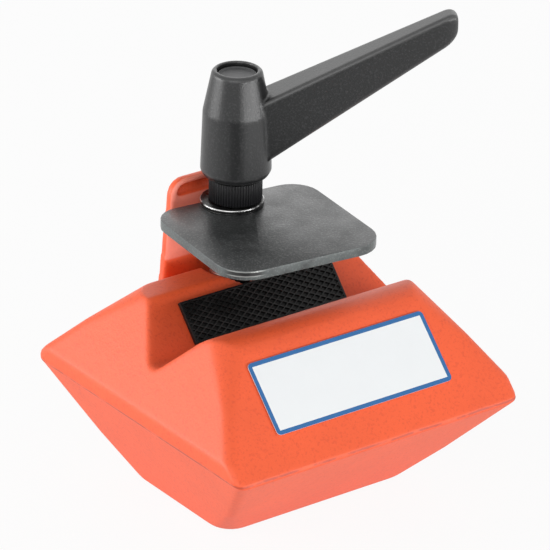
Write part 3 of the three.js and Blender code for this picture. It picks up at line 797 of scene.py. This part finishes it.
# %% [markdown]
# ## The label
# A film label sits on the front slope. It is die cut with slightly round corners, white and bare, with a border
# in blue ink. A slab gets round corners from a bevel of its upright edges. The border is a ring of faces made
# by an inset, so its ink is a second finish on the same film.

# %% Cut the label
label_length, label_width, label_thickness = 0.0688, 0.0246, 0.0003
corner_radius, border_width, border_reach = 0.0015, 0.0014, 0.002
front_slope = math.radians(45.7)


def is_upright(edge):
    return abs(edge.verts[0].co.z - edge.verts[1].co.z) > label_thickness / 2


def in_border(face):
    from_end = label_length / 2 - abs(face.center.x)
    from_side = label_width / 2 - abs(face.center.y)
    return faces_up(face) and min(from_end, from_side) < border_reach


bpy.ops.mesh.primitive_cube_add(size=1)
label = name_new("slope_label_film")
put(label, size=(label_length, label_width, label_thickness))
pick(label, "EDGE", is_upright)
bpy.ops.mesh.bevel(offset=corner_radius, segments=5, affect="EDGES")
leave_edit()
pick(label, "FACE", faces_up)
bpy.ops.mesh.inset(thickness=border_width, depth=0)
leave_edit()
label.data.materials.append(label_white)
label.data.materials.append(label_blue)
for face in label.data.polygons:
    face.material_index = int(in_border(face))
put(label, tilt=front_slope, place=centre_of("front_label"))
seat(label, "base", "label_film", "front_label")

# %% [markdown]
# ## Plate and washers
# The clamp plate is punched from 3 mm steel, tumbled and coated, so its corners are soft. The washers are
# punched as well, and the top one is polished by the turning lever. Each is a copy of its CAD shape with bevelled
# edges and its rim marked for wear.

# %% Soften the plate and the washers
def soft_copy(node, name, width, segments=2, angle=40):
    """A copy of a CAD node with its edges bevelled to the given width."""
    piece = welded_copy(node, name)
    bevel_edges(piece, width, segments, angle)
    smooth_shade(piece, 40)
    return piece


plate = soft_copy("clamp_plate", "coated_clamp_plate", 0.0006, segments=3)
mark_rims(plate, side_mark=0.45)
plate.data.materials.append(plate_paint)
seat(plate, "plate", "plate_paint", "clamp_plate")

for node, name, body in (
    ("thrust_washer", "polished_thrust_washer", "carriage"),
    ("spring_washer", "spring_seat_washer", "plate"),
):
    washer = soft_copy(node, name, 0.0003)
    mark_rims(washer)
    washer.data.materials.append(washer_steel)
    seat(washer, body, "zinc_steel", node)

# %% [markdown]
# ## The springs
# Both are coiled from round wire. The end coils are closed and lie flat, as on a real compression spring, and
# the open coils share what height is left. A curve of points with a round bevel is the easiest way to make wire,
# and it becomes a mesh at the end.

# %% Coil the lift spring
def make_spring(name, node, wire, turns, facets):
    """A compression spring with closed end coils that fills its CAD node's box."""
    closed, closed_pitch = 1, wire * 1.02
    low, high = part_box(node)
    middle = (low + high) / 2
    radius = (high.x - low.x) / 2 - wire / 2
    bottom, top = low.z + wire / 2, high.z - wire / 2
    open_turns = turns - 2 * closed
    open_pitch = (top - bottom - 2 * closed * closed_pitch) / open_turns
    curve = bpy.data.curves.new(name, "CURVE")
    curve.dimensions = "3D"
    curve.bevel_depth = wire / 2
    curve.bevel_resolution = 3
    curve.use_fill_caps = True
    line = curve.splines.new("POLY")
    line.points.add(turns * facets)
    for number, point in enumerate(line.points):
        turn = number / facets
        angle = turn * 2 * math.pi
        closed_turns = min(turn, closed) + max(0, turn - (turns - closed))
        rise = closed_turns * closed_pitch + min(max(turn - closed, 0), open_turns) * open_pitch
        point.co = (middle.x + radius * math.cos(angle), middle.y + radius * math.sin(angle), bottom + rise, 1)
    coil = bpy.data.objects.new(name, curve)
    bpy.context.collection.objects.link(coil)
    take_only(coil)
    bpy.ops.object.convert(target="MESH")
    piece = bpy.context.object
    smooth_shade(piece, 60)
    piece.data.materials.append(zinc)
    print(f"{name}: {turns} turns between {low.z * 1000:.2f} and {high.z * 1000:.2f} mm")
    return piece


lift_spring = make_spring("coiled_lift_spring", "lift_spring", wire=0.0014, turns=8, facets=40)
seat(lift_spring, "base", "zinc_steel", "lift_spring")

# %% [markdown]
# ## The stud
# A length of threaded rod ties the lever to the casting. The rod is a plain core with small chamfers. The
# thread is one triangle, swept round the core as a screw, one pitch for each turn.

# %% Turn the stud's core
stud_y = 0.0241
stud_low, stud_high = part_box("clamp_stud")
core_radius, crest_radius, pitch = 0.0042, 0.005, 0.0015
bpy.ops.mesh.primitive_cylinder_add(
    vertices=48, radius=core_radius, depth=stud_high.z - stud_low.z,
    location=(0, 0, (stud_low.z + stud_high.z) / 2),
)
stud = name_new("threaded_clamp_stud")
bevel_edges(stud, 0.0005, segments=2, angle=60)
print("stud in mm:", round((stud_high.z - stud_low.z) * 1000, 1))

# %% Cut the stud's thread
thread_start_z, thread_turns, thread_steps = 0.045, 30, 32
quarter_turn = math.radians(90)
bpy.ops.mesh.primitive_circle_add(
    vertices=3, radius=pitch * 0.55, fill_type="NOTHING", rotation=(quarter_turn, 0, 0)
)
thread = name_new("thread_ridge")
pick(thread, "VERT")
bpy.ops.transform.rotate(value=quarter_turn, orient_axis="Y", center_override=(0, 0, 0))
leave_edit()
reach = max(vert.co.x for vert in thread.data.vertices)
put(thread, place=(crest_radius - reach, 0, thread_start_z))
winding = thread.modifiers.new("winding", "SCREW")
winding.axis = "Z"
winding.angle = 2 * math.pi
winding.screw_offset = pitch
winding.iterations = thread_turns
winding.steps = thread_steps
winding.render_steps = thread_steps
apply_all(thread)
take_only(stud)
thread.select_set(True)
bpy.ops.object.join()
pick(stud, "FACE")
bpy.ops.mesh.normals_make_consistent(inside=False)
leave_edit()
smooth_shade(stud, 40)
put(stud, place=(0, stud_y, 0))
stud.data.materials.append(dark_steel)
seat(stud, "screw", "dark_steel", "clamp_stud")

# %% [markdown]
# ## The ribbed insert, its screw and spring
# Inside the lever a steel insert is pressed on the stud. Its upright ribs catch in the lever, and a small
# screw with a spring holds the lever down on it. The CAD model has their full shape, so copies with softened
# edges are enough.

# %% Finish the insert, screw and spring
insert = soft_copy("lever_insert", "ribbed_lever_insert", 0.00015, angle=25)
insert.data.materials.append(insert_black)
seat(insert, "screw", "insert_black", "lever_insert")

screw = soft_copy("lever_screw", "lever_hold_down_screw", 0.0003)
screw.data.materials.append(dark_steel)
seat(screw, "screw", "dark_steel", "lever_screw")

lever_spring = make_spring("coiled_lever_spring", "lever_spring", wire=0.0008, turns=4, facets=32)
seat(lever_spring, "index", "zinc_steel", "lever_spring")

# %% [markdown]
# ## The lever and its cap
# The lever is a zinc die casting: a round hub that swells upward, and one long arm that rises to a thin nose.
# Die casting leaves every edge round, so the lever gets the cast skin too, with smaller squares. First its foot
# is drawn in a little at two levels, which makes the rounded lip over the insert.

# %% Round the lever
lip_radius, level_gap = 0.0095, 0.0002


def on_lip(vert, level):
    from_axis = math.hypot(vert.co.x, vert.co.y - stud_y)
    return abs(vert.co.z - level) < level_gap and from_axis > lip_radius


handle = welded_copy("lever_handle", "die_cast_lever")
foot_z = min(vert.co.z for vert in handle.data.vertices)
for rise, share in ((0.0, 0.88), (0.0009, 0.95)):
    pick(handle, "VERT", lambda vert: on_lip(vert, foot_z + rise))
    bpy.ops.transform.resize(value=(share, share, 1), center_override=(0, stud_y, 0))
    leave_edit()
cast_skin(handle, square=0.00036, rounds=8)
mark_edges(handle, 0.00004)
smooth_shade(handle, 60)
handle.data.materials.append(lever_coat)
seat(handle, "lever", "lever_coating", "lever_handle")

# %% [markdown]
# A plastic cap is pressed into the top of the hub. It is a disc with a raised rim: its top face is inset and
# stepped down, and then dished by a tenth of a millimetre.

# %% Press in the cap
cap_low, cap_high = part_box("lever_cap")
bpy.ops.mesh.primitive_cylinder_add(
    vertices=96, radius=(cap_high.x - cap_low.x) / 2, depth=cap_high.z - cap_low.z,
    location=(0, 0, (cap_low.z + cap_high.z) / 2),
)
cap = name_new("pressed_in_cap")
pick(cap, "FACE", faces_up)
for inset, drop in ((0.0004, 0), (0.0003, 0.0004), (0.0030, 0.0001)):
    bpy.ops.mesh.inset(thickness=inset, depth=-drop)
leave_edit()
bevel_edges(cap, 0.00018, segments=3, angle=25)
smooth_shade(cap, 30)
put(cap, place=(0, stud_y, 0))
cap.data.materials.append(cap_plastic)
seat(cap, "lever", "cap_plastic", "lever_cap")

# %% [markdown]
# ## The springs' places
# Each spring stands on one part and carries another. Here each is taken off its body, and its place is baked
# into its mesh.

# %% Free the springs from their bodies
def stretch_between(piece, lower, upper):
    piece.parent = None
    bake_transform(piece)
    print(f"{piece.name}: from {lower} to {upper}")


stretch_between(lift_spring, "base", "carriage")
stretch_between(lever_spring, "lever", "index")
